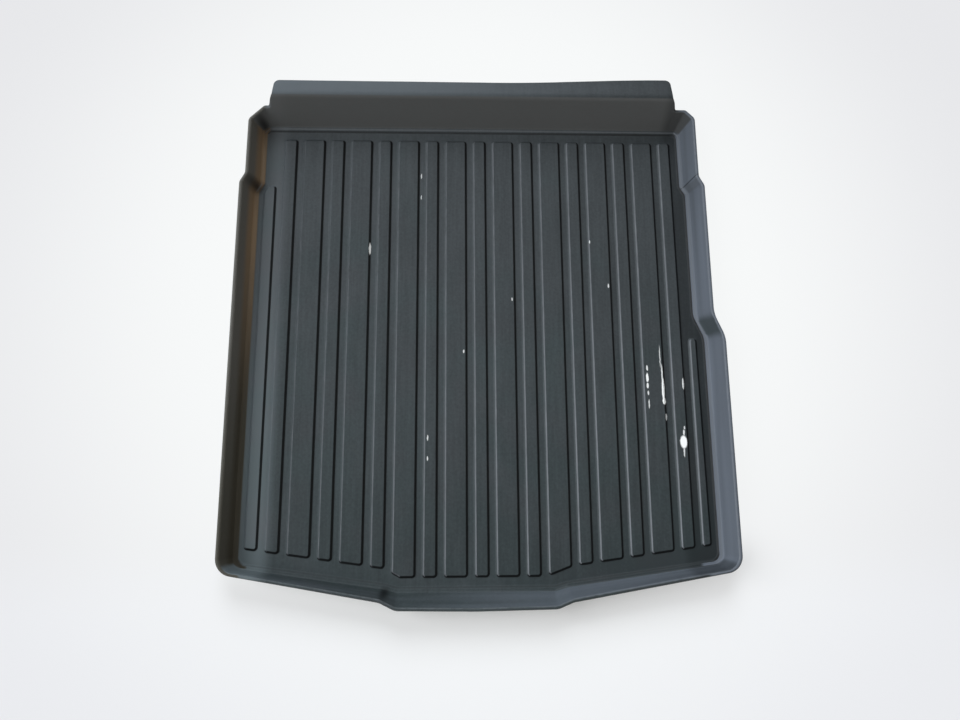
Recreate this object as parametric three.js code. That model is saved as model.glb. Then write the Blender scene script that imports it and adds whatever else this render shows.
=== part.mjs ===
// Car boot liner, in millimetres, +Z up, with the tailgate end at -Y and the seat end at +Y.
//
// The liner is one moulded sheet of even thickness. Its floor has raised bars with narrow channels
// between them, a low sloping wall runs all round, and at the seat end the wall goes on up into a
// broad flap, which bends back at its top into a flange. The sheet lies on the underside of its
// channels, at z = 0, and the origin is the middle of its footprint.
//
// The upper surface is built first, as one skin of triangles. The underside is the same skin moved
// in by the thickness, so each bar is hollow below, as on a pressed sheet.

import * as THREE from "three";

const sheetThickness = 2.5;
const overallWidth = 1000;
const overallLength = 1088;

// The rim, seen from above. Next to the tailgate the right side bulges out, so the middle line of
// the shape lies to the left of the middle of the footprint. Both sides step in at a shoulder.
const bulgeDepth = 20.4;
const bulgeEndY = -15;
const bulgeJogLength = 48;
const shoulderDepth = 11;
const shoulderStartY = 316;
const shoulderJogLength = 20;
const rimToFlangeEdge = 53.4;

// The corners at the seat end are cut off, more so on the left
const seatCutRight = { across: 19, along: 19 };
const seatCutLeft = { across: 32, along: 31 };
const seatFootCut = 5;

// The tailgate end: a nose in the middle, and a swept edge on each side of it. The right one's rim
// stands out a little further.
const noseHalfWidth = 153;
const noseJogWidth = 30;
const noseDepth = 15;
const rightSweepAdvance = 3;
const noseBow = 2.5;
const sweepRise = 55;

// How far the wall reaches out from its foot to its rim, seen from above
const sideWallRun = 33;
const cornerWallRun = 16;
const sweepWallRun = 32;
const noseWallRun = 40;
const seatWallRun = 38;
const footJogLag = 7;
const footShoulderLead = 5;

// Corner radii of the rim and of the wall's foot, seen from above
const frontCorner = { rim: 34, foot: 14 };
const noseCorner = { rim: 34, foot: 22 };
const sweepCorner = { rim: 34, foot: 22 };
const bulgeCorner = { rim: 70, foot: 50 };
const shoulderCorner = { rim: 20, foot: 8 };
const seatCorner = { rim: 16, foot: 4 };
const flapCorner = { rim: 9, foot: 4 };

// Section of the wall: a small riser at the foot, a narrow ledge, a fillet, the sloping face, and
// a rim that rolls over outwards and ends turned down by an angle
const riserRun = 4.5;
const riserHeight = 3.6;
const ledgeRun = 5;
const ledgeRise = 0.6;
const filletRun = 2.6;
const filletRise = 2.4;
const rimHeight = 48;
const rimRadius = 4.6;
const rimTurnDown = THREE.MathUtils.degToRad(50);

// The flap at the seat end, which leaves a shoulder on each side. Its flange droops a little towards
// its edge and is longest at the right.
const flapShoulder = 40.3;
const flapTaper = 14;
const flangeTaper = 4;
const flapBendHeight = 79;
const flangeEdgeHeight = 74;
const flapBendLength = 9;
const flapFootRadius = 4;
const flapBendRadius = 15;
const flangeCornerRadius = 12;
const flangeShortening = 11.3;
const shorteningWidth = 360;
const flapBlendWidth = 12;
const flapSpans = 10;
const flapEdgeSpans = 3;

// The raised bars: narrow and wide ones take turns, at one pitch, and the whole row lies a little to
// the right. The margins are the gaps between the foot of the wall and the bars.
const barPitch = 51;
const barShift = 1.5;
const barHeight = 4;
const barFlank = 5;
const barEdge = 1.2;
const wideBar = 49;
const narrowBar = 31;
const thinnestBar = 19;
const leastTurn = 0.02;
const hair = 1e-9;
const barCornerRadius = 8;
const noseMargin = 15;
const sweepMargin = 25;
const leftMargin = 5.5;
const rightMargin = 9;
const rightSeatMargin = 12;
const seatMargin = 16;
const jogNarrowing = 5;

const arcPoints = 4;
const wideArcPoints = 6;
const rimSteps = 8;

const halfWidth = (overallWidth - bulgeDepth) / 2;
const rearStraight = halfWidth - shoulderDepth;
const middleX = -bulgeDepth / 2;
const frontY = -overallLength / 2;
const seatRimY = overallLength / 2 - rimToFlangeEdge;

// The corners of one side, from the nose back to the seat end. Each one has its place on the rim,
// on the foot of the wall and, unless it has no margin, on the field that the bars fill.
function sideCorners(side, { bulge, sweepAdvance, seatCut, sideMargin, seatMargin }) {
  const sideX = halfWidth;
  const frontX = sideX + bulge;
  const noseY = frontY + noseBow;
  const sweepX = noseHalfWidth + noseJogWidth;
  const sweepY = noseY + noseDepth - sweepAdvance;
  const corner = (x, y, radii, run, margin, points = arcPoints) => {
    const foot = [x - run[0], y - run[1]];
    const place = ([across, along], radius) => ({ x: middleX + side * across, y: along, radius, points });
    return {
      rim: place([x, y], radii.rim),
      foot: place(foot, radii.foot),
      field: margin && place([foot[0] - margin[0], foot[1] - margin[1]], 0),
    };
  };
  const front = [
    corner(noseHalfWidth, noseY, noseCorner, [0, -noseWallRun], [jogNarrowing, -noseMargin]),
    corner(sweepX, sweepY, sweepCorner, [jogNarrowing, -sweepWallRun - sweepAdvance],
      [0, -sweepMargin]),
    corner(frontX, sweepY + sweepRise, frontCorner, [sideWallRun, -cornerWallRun - sweepAdvance],
      [sideMargin, -sweepMargin], wideArcPoints),
  ];
  const jog = [
    corner(frontX, bulgeEndY, bulgeCorner, [sideWallRun, -footJogLag], [sideMargin, footJogLag]),
    corner(sideX, bulgeEndY + bulgeJogLength, bulgeCorner, [sideWallRun, -footJogLag],
      [sideMargin, footJogLag]),
  ];
  const rear = [
    corner(sideX, shoulderStartY, shoulderCorner, [sideWallRun, footShoulderLead],
      [sideMargin, 0]),
    corner(rearStraight, shoulderStartY + shoulderJogLength, shoulderCorner,
      [sideWallRun, footShoulderLead], [seatMargin, 0]),
    corner(rearStraight, seatRimY - seatCut.along, seatCorner,
      [sideWallRun, seatWallRun + seatFootCut - seatCut.along], null),
    corner(rearStraight - seatCut.across, seatRimY, flapCorner,
      [sideWallRun + seatFootCut - seatCut.across, seatWallRun],
      [seatMargin - seatFootCut, seatMargin]),
  ];
  return [...front, ...(bulge > 0 ? jog : []), ...rear];
}

const rightCorners = sideCorners(1, {
  bulge: bulgeDepth, sweepAdvance: rightSweepAdvance, seatCut: seatCutRight,
  sideMargin: rightMargin, seatMargin: rightSeatMargin,
});
const leftCorners = sideCorners(-1, {
  bulge: 0, sweepAdvance: 0, seatCut: seatCutLeft,
  sideMargin: leftMargin, seatMargin: leftMargin,
}).toReversed();

// The nose bows out a little at its middle
function noseMiddle(back) {
  return { x: middleX, y: frontY + back, radius: 0, points: 1 };
}

// Points round one corner: an arc that touches both of its edges
function roundCorner(before, corner, after) {
  const at = new THREE.Vector2(corner.x, corner.y);
  if (corner.points === 1) return [at];
  const toBefore = new THREE.Vector2(before.x, before.y).sub(at);
  const toAfter = new THREE.Vector2(after.x, after.y).sub(at);
  const room = Math.min(toBefore.length(), toAfter.length()) * 0.45;
  const halfTurn = (Math.PI - toBefore.angleTo(toAfter)) / 2;
  const tangent = Math.min(corner.radius * Math.tan(halfTurn), room);
  const start = at.clone().addScaledVector(toBefore.normalize(), tangent);
  const end = at.clone().addScaledVector(toAfter.normalize(), tangent);
  // A rational curve with this weight at its middle is a true arc
  const weight = Math.cos(halfTurn);
  return Array.from({ length: corner.points }, (_, step) => {
    const t = step / (corner.points - 1);
    const [a, b, c] = [(1 - t) ** 2, 2 * t * (1 - t) * weight, t * t];
    const sum = new THREE.Vector2().addScaledVector(start, a).addScaledVector(at, b);
    return sum.addScaledVector(end, c).divideScalar(a + b + c);
  });
}

function roundCorners(corners) {
  return corners.map((corner, i) =>
    roundCorner(corners.at(i - 1), corner, corners[(i + 1) % corners.length]),
  );
}

// Moves every edge of a plan inwards by the same distance
function insetCorners(corners, distance) {
  const edges = corners.map((from, i) => {
    const to = corners[(i + 1) % corners.length];
    const along = new THREE.Vector2(to.x - from.x, to.y - from.y).normalize();
    return { along, x: from.x - along.y * distance, y: from.y + along.x * distance };
  });
  return corners.map((corner, i) => {
    const before = edges.at(i - 1);
    const after = edges[i];
    const turn = before.along.cross(after.along);
    const gap = new THREE.Vector2(after.x - before.x, after.y - before.y);
    const reach = gap.cross(after.along) / turn;
    return {
      ...corner,
      x: before.x + before.along.x * reach,
      y: before.y + before.along.y * reach,
      radius: Math.max(corner.radius - Math.sign(turn) * distance, barFlank / 4),
    };
  });
}

// The rim's section, from the top of the sloping face to the sheet's edge, as distances from that
// edge and heights above the floor. The face of the side wall touches the rim's arc.
const footTop = new THREE.Vector2(
  riserRun + ledgeRun + filletRun, riserHeight + ledgeRise + filletRise);
const rimPath = new THREE.Path();
{
  const centre = new THREE.Vector2(-rimRadius * Math.sin(rimTurnDown), rimHeight - rimRadius);
  const toCentre = centre.clone().sub(new THREE.Vector2(footTop.x - sideWallRun, footTop.y));
  const faceAngle = toCentre.angle() + Math.asin(rimRadius / toCentre.length());
  const quarter = Math.PI / 2;
  rimPath.absarc(centre.x, centre.y, rimRadius, quarter + faceAngle, quarter - rimTurnDown, true);
}
const faceTop = rimPath.getPoint(0);

// The flap's section goes on up the slope of the seat wall and round a soft bend to the flange
const seatSlope = (faceTop.y - footTop.y) / (faceTop.x - footTop.x + seatWallRun);
const flapBend = new THREE.Vector2(
  faceTop.x + (flapBendHeight - faceTop.y) / seatSlope, flapBendHeight);
const flapPath = new THREE.Path();
{
  const edge = new THREE.Vector2(rimToFlangeEdge, flangeEdgeHeight);
  const towards = (end) => end.clone().sub(flapBend).setLength(flapBendLength).add(flapBend);
  flapPath.moveTo(faceTop.x, faceTop.y);
  flapPath.lineTo(...towards(faceTop).toArray());
  flapPath.quadraticCurveTo(flapBend.x, flapBend.y, ...towards(edge).toArray());
  flapPath.lineTo(edge.x, edge.y);
}
const flapLength = flapPath.getLength();

// The flap's outline on one side, from its foot on the rim to the flange's corner: the distance from
// the middle line, and the reach up the flap's section
function flapOutline(side) {
  const start = rimPath.getLength();
  const full = flapLength - (side < 0 ? flangeShortening : 0);
  const footAcross = rearStraight - flapShoulder;
  const bendAcross = footAcross - flapTaper;
  const outline = [
    { x: halfWidth, y: start },
    { x: footAcross, y: start, radius: flapFootRadius, points: 3 },
    { x: bendAcross, y: faceTop.distanceTo(flapBend), radius: flapBendRadius, points: 3 },
    { x: bendAcross - flangeTaper, y: full, radius: flangeCornerRadius, points: wideArcPoints },
    { x: 0, y: full },
  ];
  const [foot, bend, top] = [1, 2, 3].map((i) =>
    roundCorner(outline[i - 1], outline[i], outline[i + 1]));
  const edge = (from, to) => Array.from({ length: flapEdgeSpans - 1 }, (_, i) =>
    from.at(-1).clone().lerp(to[0], (i + 1) / flapEdgeSpans));
  return [...foot, ...edge(foot, bend), ...bend, ...edge(bend, top), ...top].map(
    (p) => ({ across: side * p.x, reach: p.y }));
}

// Stations along the seat end, from right to left, where the wall carries the flap
function flapStations() {
  const right = flapOutline(1);
  const left = flapOutline(-1).toReversed();
  const [from, to] = [right.at(-1), left[0]];
  const middle = Array.from({ length: flapSpans - 1 }, (_, i) => {
    const t = (i + 1) / flapSpans;
    const across = THREE.MathUtils.lerp(from.across, to.across, t);
    const short = THREE.MathUtils.smoothstep(from.across - across, 0, shorteningWidth);
    return { across, reach: flapLength - flangeShortening * short };
  });
  // The straight of the foot is a little shorter than that of the rim, so the stations fan out
  const fanOf = (cut) => (rearStraight - sideWallRun - seatFootCut) / (rearStraight - cut.across);
  const [rightFan, leftFan] = [seatCutRight, seatCutLeft].map(fanOf);
  return [...right, ...middle, ...left].map(({ across, reach }) => ({
    rim: new THREE.Vector2(middleX + across, seatRimY),
    foot: new THREE.Vector2(
      middleX + across * (across > 0 ? rightFan : leftFan), seatRimY - seatWallRun),
    reach,
    blend: THREE.MathUtils.smoothstep(right[0].across - Math.abs(across), 0, flapBlendWidth),
  }));
}

// Stations all round the liner, anticlockwise from the middle of the nose
function wallStations() {
  const plan = (name) => roundCorners([
    noseMiddle(name === "foot" ? noseWallRun + noseBow : 0),
    ...rightCorners.map((corner) => corner[name]),
    ...leftCorners.map((corner) => corner[name]),
  ]);
  const [rimArcs, footArcs] = [plan("rim"), plan("foot")];
  const arcs = rimArcs.map((arc, i) => arc.map((rim, j) => ({ rim, foot: footArcs[i][j] })));
  const seatEnd = rightCorners.length + 1;
  return [...arcs.slice(0, seatEnd).flat(), ...flapStations(), ...arcs.slice(seatEnd).flat()];
}

// The upper surface's points at one station, from the foot of the wall to the sheet's edge
function stationPoints({ rim, foot, reach = 0, blend = 0 }) {
  const outward = rim.clone().sub(foot).normalize();
  // The flap leans straight towards the seat
  const leaning = outward.clone().lerp(new THREE.Vector2(0, 1), blend).normalize();
  const at = (from, direction, run, height) => {
    const plan = from.clone().addScaledVector(direction, run);
    return new THREE.Vector3(plan.x, plan.y, sheetThickness + height);
  };
  const lower = [
    at(foot, outward, 0, 0),
    at(foot, outward, riserRun, riserHeight),
    at(foot, outward, riserRun + ledgeRun, riserHeight + ledgeRise),
    at(foot, outward, footTop.x, footTop.y),
    at(rim, leaning, faceTop.x, faceTop.y),
  ];
  const upper = Array.from({ length: rimSteps }, (_, i) => {
    const t = (i + 1) / rimSteps;
    const onFlap = flapPath.getPointAt((reach * t) / flapLength);
    const { x: run, y: height } = rimPath.getPointAt(t).lerp(onFlap, blend);
    return at(rim, leaning, run, height);
  });
  return [...lower, ...upper];
}

// The part of a plan where the given signed distance is not below zero
function cutPlan(plan, distance) {
  return plan.flatMap((p, i) => {
    const q = plan[(i + 1) % plan.length];
    const [a, b] = [distance(p), distance(q)];
    const crossing = a * b < 0 ? [p.clone().lerp(q, a / (a - b))] : [];
    return a >= 0 ? [p, ...crossing] : crossing;
  });
}

// One bar's plan: a strip of the field. Where the field leaves less than the thinnest bar, the bar
// ends.
function barPlan(field, middle, width) {
  const side = Math.sign(middle) || 1;
  const inner = middle - (side * width) / 2;
  const outer = middle + (side * width) / 2;
  const thinnest = cutPlan(field, (p) => side * (p.x - inner) - thinnestBar);
  if (thinnest.length < 3) return null;
  const high = Math.max(...thinnest.map((p) => p.y));
  const cuts = [
    (p) => side * (p.x - inner),
    (p) => side * (outer - p.x),
    (p) => high - p.y,
  ];
  const plan = cuts.reduce(cutPlan, field);
  // A corner of the field that falls close to the strip's own corner is left out
  const crowded = (p) => plan.some((q) => q !== p && q.distanceTo(p) < 2.5 * barFlank);
  const clear = plan.filter((p) => !field.includes(p) || !crowded(p));
  // So is a corner where the plan hardly turns
  return clear.filter((p, i) => {
    const [before, after] = [clear.at(i - 1), clear[(i + 1) % clear.length]];
    return before.clone().sub(p).angleTo(after.clone().sub(p)) < Math.PI - leastTurn;
  });
}

function barPlans() {
  const field = [...rightCorners, ...leftCorners].flatMap(
    ({ field: corner }) => (corner ? [new THREE.Vector2(corner.x, corner.y)] : []));
  const each = Math.ceil(overallWidth / 2 / barPitch);
  return Array.from({ length: 2 * each + 1 }, (_, i) => {
    const n = i - each;
    return barPlan(field, n * barPitch + barShift, n % 2 === 0 ? narrowBar : wideBar);
  }).filter((plan) => plan !== null);
}

// Rings of points round one bar, from its flat top down to the floor
function barRings(plan) {
  const base = plan.map(({ x, y }) => ({ x, y, radius: barCornerRadius, points: arcPoints }));
  const section = [
    [barFlank, barHeight],
    [barFlank - barEdge, barHeight - barEdge / 2],
    [barEdge, barEdge / 2],
    [0, 0],
  ];
  return section.map(([inset, height]) => {
    const corners = inset > 0 ? insetCorners(base, inset) : base;
    const ring = roundCorners(corners).flat();
    return ring.map(({ x, y }) => new THREE.Vector3(x, y, sheetThickness + height));
  });
}

// The upper skin
function upperSkin() {
  const points = [];
  const faces = [];
  const add = (ring) => ring.map((point) => points.push(point) - 1);

  // Faces between closed rings, listed from the inner ring to the outer one
  const band = (rings) => {
    for (let j = 1; j < rings.length; j++) {
      const [inner, outer] = [rings[j - 1], rings[j]];
      inner.forEach((a, i) => {
        const k = (i + 1) % inner.length;
        faces.push([a, outer[i], outer[k]], [a, outer[k], inner[k]]);
      });
    }
  };
  const cap = (ring, holes) => {
    // The triangulation gives faces without area to points that lie in line. So it is shown the
    // wall's foot bowed in by a hair, and the ends of the bars bowed out.
    const bowed = (indices, bow) => indices.map((i) => {
      const { x, y } = points[i];
      return new THREE.Vector2(x, y * (1 + bow * x * x));
    });
    const openings = holes.map((hole) => bowed(hole, -hair));
    const all = [ring, ...holes].flat();
    for (const face of THREE.ShapeUtils.triangulateShape(bowed(ring, hair), openings)) {
      faces.push(face.map((i) => all[i]));
    }
  };

  const stations = wallStations().map(stationPoints);
  const wallRings = stations[0].map((_, j) => add(stations.map((column) => column[j])));
  const barBases = barPlans().map((plan) => {
    const rings = barRings(plan).map(add);
    band(rings);
    cap(rings[0], []);
    return rings.at(-1);
  });
  cap(wallRings[0], barBases);
  band(wallRings);
  return { points, faces, edge: wallRings.at(-1) };
}

// Moves each point of a skin in by the sheet's thickness, square to all the faces that meet there
function lowerPoints({ points, faces }) {
  const sums = points.map(() => ({ matrix: new Array(9).fill(0), normal: new THREE.Vector3() }));
  const triangle = new THREE.Triangle();
  for (const face of faces) {
    triangle.set(...face.map((i) => points[i]));
    const n = triangle.getNormal(new THREE.Vector3());
    face.forEach((index, corner) => {
      const sides = [1, 2].map((step) => points[face[(corner + step) % 3]].clone().sub(points[index]));
      const angle = sides[0].angleTo(sides[1]);
      const outer = [n.x * n.x, n.x * n.y, n.x * n.z, n.y * n.y, n.y * n.z, n.z * n.z];
      const [xx, xy, xz, yy, yz, zz] = outer.map((value) => value * angle);
      [xx, xy, xz, xy, yy, yz, xz, yz, zz].forEach((value, k) => (sums[index].matrix[k] += value));
      sums[index].normal.addScaledVector(n, angle);
    });
  }
  const slight = 1e-6;
  const sharpestFold = Math.SQRT2;
  return points.map((point, i) => {
    const { matrix, normal } = sums[i];
    const solve = new THREE.Matrix3().set(...matrix.map((v, k) => v + (k % 4 === 0 ? slight : 0)));
    const move = normal.applyMatrix3(solve.invert()).clampLength(1, sharpestFold);
    return point.clone().addScaledVector(move, -sheetThickness);
  });
}

// The closed sheet: the upper skin, the underside, and the narrow edge that joins them
function sheetGeometry() {
  const skin = upperSkin();
  const count = skin.points.length;
  const below = (i) => i + count;
  const edgeFaces = skin.edge.flatMap((a, i) => {
    const b = skin.edge[(i + 1) % skin.edge.length];
    return [[a, below(a), below(b)], [a, below(b), b]];
  });
  const underFaces = skin.faces.map(([a, b, c]) => [below(a), below(c), below(b)]);
  const geometry = new THREE.BufferGeometry();
  geometry.setFromPoints([...skin.points, ...lowerPoints(skin)]);
  geometry.setIndex([...skin.faces, ...underFaces, ...edgeFaces].flat());
  geometry.computeVertexNormals();
  return geometry;
}

const charcoalRubber = new THREE.MeshStandardMaterial({
  name: "charcoal_rubber",
  color: 0x3a3e40,
  roughness: 0.55,
  metalness: 0,
});

const liner = new THREE.Mesh(sheetGeometry(), charcoalRubber);
liner.name = "boot_liner";

const part = new THREE.Group();
part.name = "car_boot_liner";
part.add(liner);

export default part;
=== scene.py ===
# %% [markdown]
# # Car boot liner
#
# A boot liner is one sheet of soft rubber, pressed to the shape of a car's boot. The part's solid
# has the right sizes, but its round corners have few faces, so this script makes the same sheet
# again with fine arcs, rounds its folds and gives it the finish that the photograph shows.

# %% Load the frame
import math

import bpy
import numpy as np
from mathutils import Matrix, Vector
from mathutils.geometry import delaunay_2d_cdt


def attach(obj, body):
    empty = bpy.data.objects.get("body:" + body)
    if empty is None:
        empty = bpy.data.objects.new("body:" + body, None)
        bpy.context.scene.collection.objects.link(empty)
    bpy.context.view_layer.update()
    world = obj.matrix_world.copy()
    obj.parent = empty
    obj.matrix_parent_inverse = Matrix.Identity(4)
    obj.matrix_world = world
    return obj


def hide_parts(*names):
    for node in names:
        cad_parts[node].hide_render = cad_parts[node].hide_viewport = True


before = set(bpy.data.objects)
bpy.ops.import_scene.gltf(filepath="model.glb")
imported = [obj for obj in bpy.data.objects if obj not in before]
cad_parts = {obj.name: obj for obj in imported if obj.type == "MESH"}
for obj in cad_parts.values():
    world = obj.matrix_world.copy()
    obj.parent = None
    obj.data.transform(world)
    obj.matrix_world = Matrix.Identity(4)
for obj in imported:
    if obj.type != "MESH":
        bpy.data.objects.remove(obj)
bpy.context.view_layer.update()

# %% [markdown]
# ## Sizes
#
# These are the sizes of the part's source, in millimetres, with +X right, +Y towards the seat and
# +Z up. The rim is drawn first, then how far the wall runs in from it, then the wall's section.
# The flap and the bars come last. The two turns are angles, in radians.

# %% Sizes in millimetres
# The sheet, and the outline of its rim
SHEET = 2.5
WIDTH = 1000
LENGTH = 1088
BULGE = 20.4
BULGE_END_Y = -15
BULGE_JOG = 48
SHOULDER = 11
SHOULDER_Y = 316
SHOULDER_JOG = 20
FLANGE_REACH = 53.4
SEAT_CUT_RIGHT = (19, 19)
SEAT_CUT_LEFT = (32, 31)
SEAT_FOOT_CUT = 5
NOSE_HALF_WIDTH = 153
NOSE_JOG = 30
NOSE_DEPTH = 15
RIGHT_SWEEP_ADVANCE = 3
NOSE_BOW = 2.5
SWEEP_RISE = 55

# How far the wall runs in at each edge, and how its corners are shifted at the foot
SIDE_RUN = 33
CORNER_RUN = 16
SWEEP_RUN = 32
NOSE_RUN = 40
SEAT_RUN = 38
JOG_LAG = 7
SHOULDER_LEAD = 5

# The radii of the corners, on the rim and at the foot
FRONT_RADII = (34, 14)
NOSE_RADII = (34, 22)
SWEEP_RADII = (34, 22)
BULGE_RADII = (70, 50)
SHOULDER_RADII = (20, 8)
SEAT_RADII = (16, 4)
FLAP_RADII = (9, 4)

# The wall's section, as runs and rises from the foot up, and the rim's roll
RISER = (4.5, 3.6)
LEDGE = (5, 0.6)
FILLET = (2.6, 2.4)
RIM_HEIGHT = 48
RIM_RADIUS = 4.6
RIM_TURN_DOWN = math.radians(50)

# The flap and its flange
FLAP_SHOULDER = 40.3
FLAP_TAPER = 14
FLANGE_TAPER = 4
FLAP_BEND_HEIGHT = 79
FLANGE_EDGE_HEIGHT = 74
FLAP_BEND_LENGTH = 9
FLAP_FOOT_RADIUS = 4
FLAP_BEND_RADIUS = 15
FLANGE_CORNER_RADIUS = 12
FLANGE_SHORTENING = 11.3
SHORTENING_WIDTH = 360
FLAP_BLEND_WIDTH = 12

# The bars, and the margins between them and the foot of the wall
BAR_PITCH = 51
BAR_SHIFT = 1.5
BAR_HEIGHT = 4
BAR_FLANK = 5
WIDE_BAR = 49
NARROW_BAR = 31
THINNEST_BAR = 19
LEAST_TURN = 0.02
BAR_CORNER_RADIUS = 8
NOSE_MARGIN = 15
SWEEP_MARGIN = 25
LEFT_MARGIN = 5.5
RIGHT_MARGIN = 9
RIGHT_SEAT_MARGIN = 12
SEAT_MARGIN = 16
JOG_NARROWING = 5

# What follows from these
HALF_WIDTH = (WIDTH - BULGE) / 2
REAR_HALF_WIDTH = HALF_WIDTH - SHOULDER
MIDDLE_X = -BULGE / 2
FRONT_Y = -LENGTH / 2
SEAT_Y = LENGTH / 2 - FLANGE_REACH

# %% [markdown]
# ## The plan
#
# Seen from above, the liner is a chain of corners: the nose, a swept edge, a front corner, the
# bulge on the right side only, a small shoulder and the corner at the seat. Each corner has a place
# on the rim, one on the foot of the wall and one on the field that the bars fill. The outline could
# be a curve drawn by hand, but from named corners it keeps to the sizes of the part.

# %% Corners of the plan
CORNER_STEPS = 12


def corner(side, place, radii, run, margin=None):
    """One corner of the plan: its places on the rim and the foot with their radii, and the field's"""
    rim = np.array(place, float)
    foot = rim - run
    rim, foot, field = (
        point * (side, 1) + (MIDDLE_X, 0) for point in (rim, foot, foot - (margin or (0, 0)))
    )
    return {
        "rim": (rim, radii[0]), "foot": (foot, radii[1]), "field": field if margin else None,
        "steps": CORNER_STEPS,
    }


def side_corners(side, bulge, advance, side_margin, seat_margin, seat_cut):
    nose_y = FRONT_Y + NOSE_BOW
    sweep = (NOSE_HALF_WIDTH + NOSE_JOG, nose_y + NOSE_DEPTH - advance)
    front = (HALF_WIDTH + bulge, sweep[1] + SWEEP_RISE)
    lagging = (SIDE_RUN, -JOG_LAG)
    jog_ends = [(front[0], BULGE_END_Y), (HALF_WIDTH, BULGE_END_Y + BULGE_JOG)]
    jog = [corner(side, end, BULGE_RADII, lagging, (side_margin, JOG_LAG)) for end in jog_ends]
    return [
        corner(side, (NOSE_HALF_WIDTH, nose_y), NOSE_RADII, (0, -NOSE_RUN), (JOG_NARROWING, -NOSE_MARGIN)),
        corner(side, sweep, SWEEP_RADII, (JOG_NARROWING, -SWEEP_RUN - advance), (0, -SWEEP_MARGIN)),
        corner(side, front, FRONT_RADII, (SIDE_RUN, -CORNER_RUN - advance), (side_margin, -SWEEP_MARGIN)),
        *(jog if bulge else []),
        corner(side, (HALF_WIDTH, SHOULDER_Y), SHOULDER_RADII, (SIDE_RUN, SHOULDER_LEAD),
               (side_margin, 0)),
        corner(side, (REAR_HALF_WIDTH, SHOULDER_Y + SHOULDER_JOG), SHOULDER_RADII,
               (SIDE_RUN, SHOULDER_LEAD), (seat_margin, 0)),
        corner(side, (REAR_HALF_WIDTH, SEAT_Y - seat_cut[1]), SEAT_RADII,
               (SIDE_RUN, SEAT_RUN + SEAT_FOOT_CUT - seat_cut[1])),
        corner(side, (REAR_HALF_WIDTH - seat_cut[0], SEAT_Y), FLAP_RADII,
               (SIDE_RUN + SEAT_FOOT_CUT - seat_cut[0], SEAT_RUN),
               (seat_margin - SEAT_FOOT_CUT, SEAT_MARGIN)),
    ]


right = side_corners(1, BULGE, RIGHT_SWEEP_ADVANCE, RIGHT_MARGIN, RIGHT_SEAT_MARGIN, SEAT_CUT_RIGHT)
left = side_corners(-1, 0, 0, LEFT_MARGIN, LEFT_MARGIN, SEAT_CUT_LEFT)[::-1]
nose_middle = {
    "rim": (np.array([MIDDLE_X, FRONT_Y]), 0),
    "foot": (np.array([MIDDLE_X, FRONT_Y + NOSE_RUN + NOSE_BOW]), 0),
    "steps": 1,
}
print("corners on the right and on the left:", len(right), len(left))

# %% [markdown]
# A corner is rounded by an arc that touches both of its edges. A rational curve with the cosine of
# half the turn as its middle weight is a true arc. It takes at most 0.45 of the shorter edge, so
# that two arcs on one edge never meet.

# %% Arcs
ARC_ROOM = 0.45


def arc(before, at, after, radius, steps):
    to_before, to_after = before - at, after - at
    lengths = np.linalg.norm(to_before), np.linalg.norm(to_after)
    to_before, to_after = to_before / lengths[0], to_after / lengths[1]
    half_turn = (math.pi - math.acos(np.clip(to_before @ to_after, -1, 1))) / 2
    tangent = min(radius * math.tan(half_turn), ARC_ROOM * min(lengths))
    ends = np.array([at + to_before * tangent, at, at + to_after * tangent])
    t = np.linspace(0, 1, steps)[:, None]
    weights = np.hstack([(1 - t) ** 2, 2 * t * (1 - t) * math.cos(half_turn), t * t])
    return weights @ ends / weights.sum(axis=1, keepdims=True)


def arcs(points, radii, steps):
    """One arc for each corner of a closed plan"""
    return [
        arc(points[i - 1], points[i], points[(i + 1) % len(points)], radii[i], steps[i])
        for i in range(len(points))
    ]


# %% [markdown]
# ## The flap's outline
#
# At the seat end the wall goes on up into a flap, which bends back into a flange. The section of
# the rim and that of the flap are two curves. The rim's rolls over and ends turned down. A station
# at the flap's end passes smoothly from one to the other.


# %% Sections of the rim and the flap
RIM_CURVE_POINTS = 60
BEND_CURVE_POINTS = 40


def smoothstep(value, low, high):
    t = np.clip((value - low) / (high - low), 0, 1)
    return t * t * (3 - 2 * t)


def length_of(points):
    return np.linalg.norm(np.diff(points, axis=0), axis=1).sum()


def at_lengths(points, lengths):
    """Points on a polyline at the given distances along it"""
    along = np.concatenate([[0], np.cumsum(np.linalg.norm(np.diff(points, axis=0), axis=1))])
    return np.stack([np.interp(lengths, along, points[:, axis]) for axis in range(2)], axis=-1)


foot_top = np.array(RISER) + LEDGE + FILLET
rim_centre = np.array([-RIM_RADIUS * math.sin(RIM_TURN_DOWN), RIM_HEIGHT - RIM_RADIUS])
to_centre = rim_centre - (foot_top[0] - SIDE_RUN, foot_top[1])
face_angle = math.atan2(to_centre[1], to_centre[0]) + math.asin(RIM_RADIUS / np.linalg.norm(to_centre))
rim_angles = np.linspace(math.pi / 2 + face_angle, math.pi / 2 - RIM_TURN_DOWN, RIM_CURVE_POINTS)
rim_curve = rim_centre + RIM_RADIUS * np.stack([np.cos(rim_angles), np.sin(rim_angles)], axis=-1)
face_top = rim_curve[0]

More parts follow.
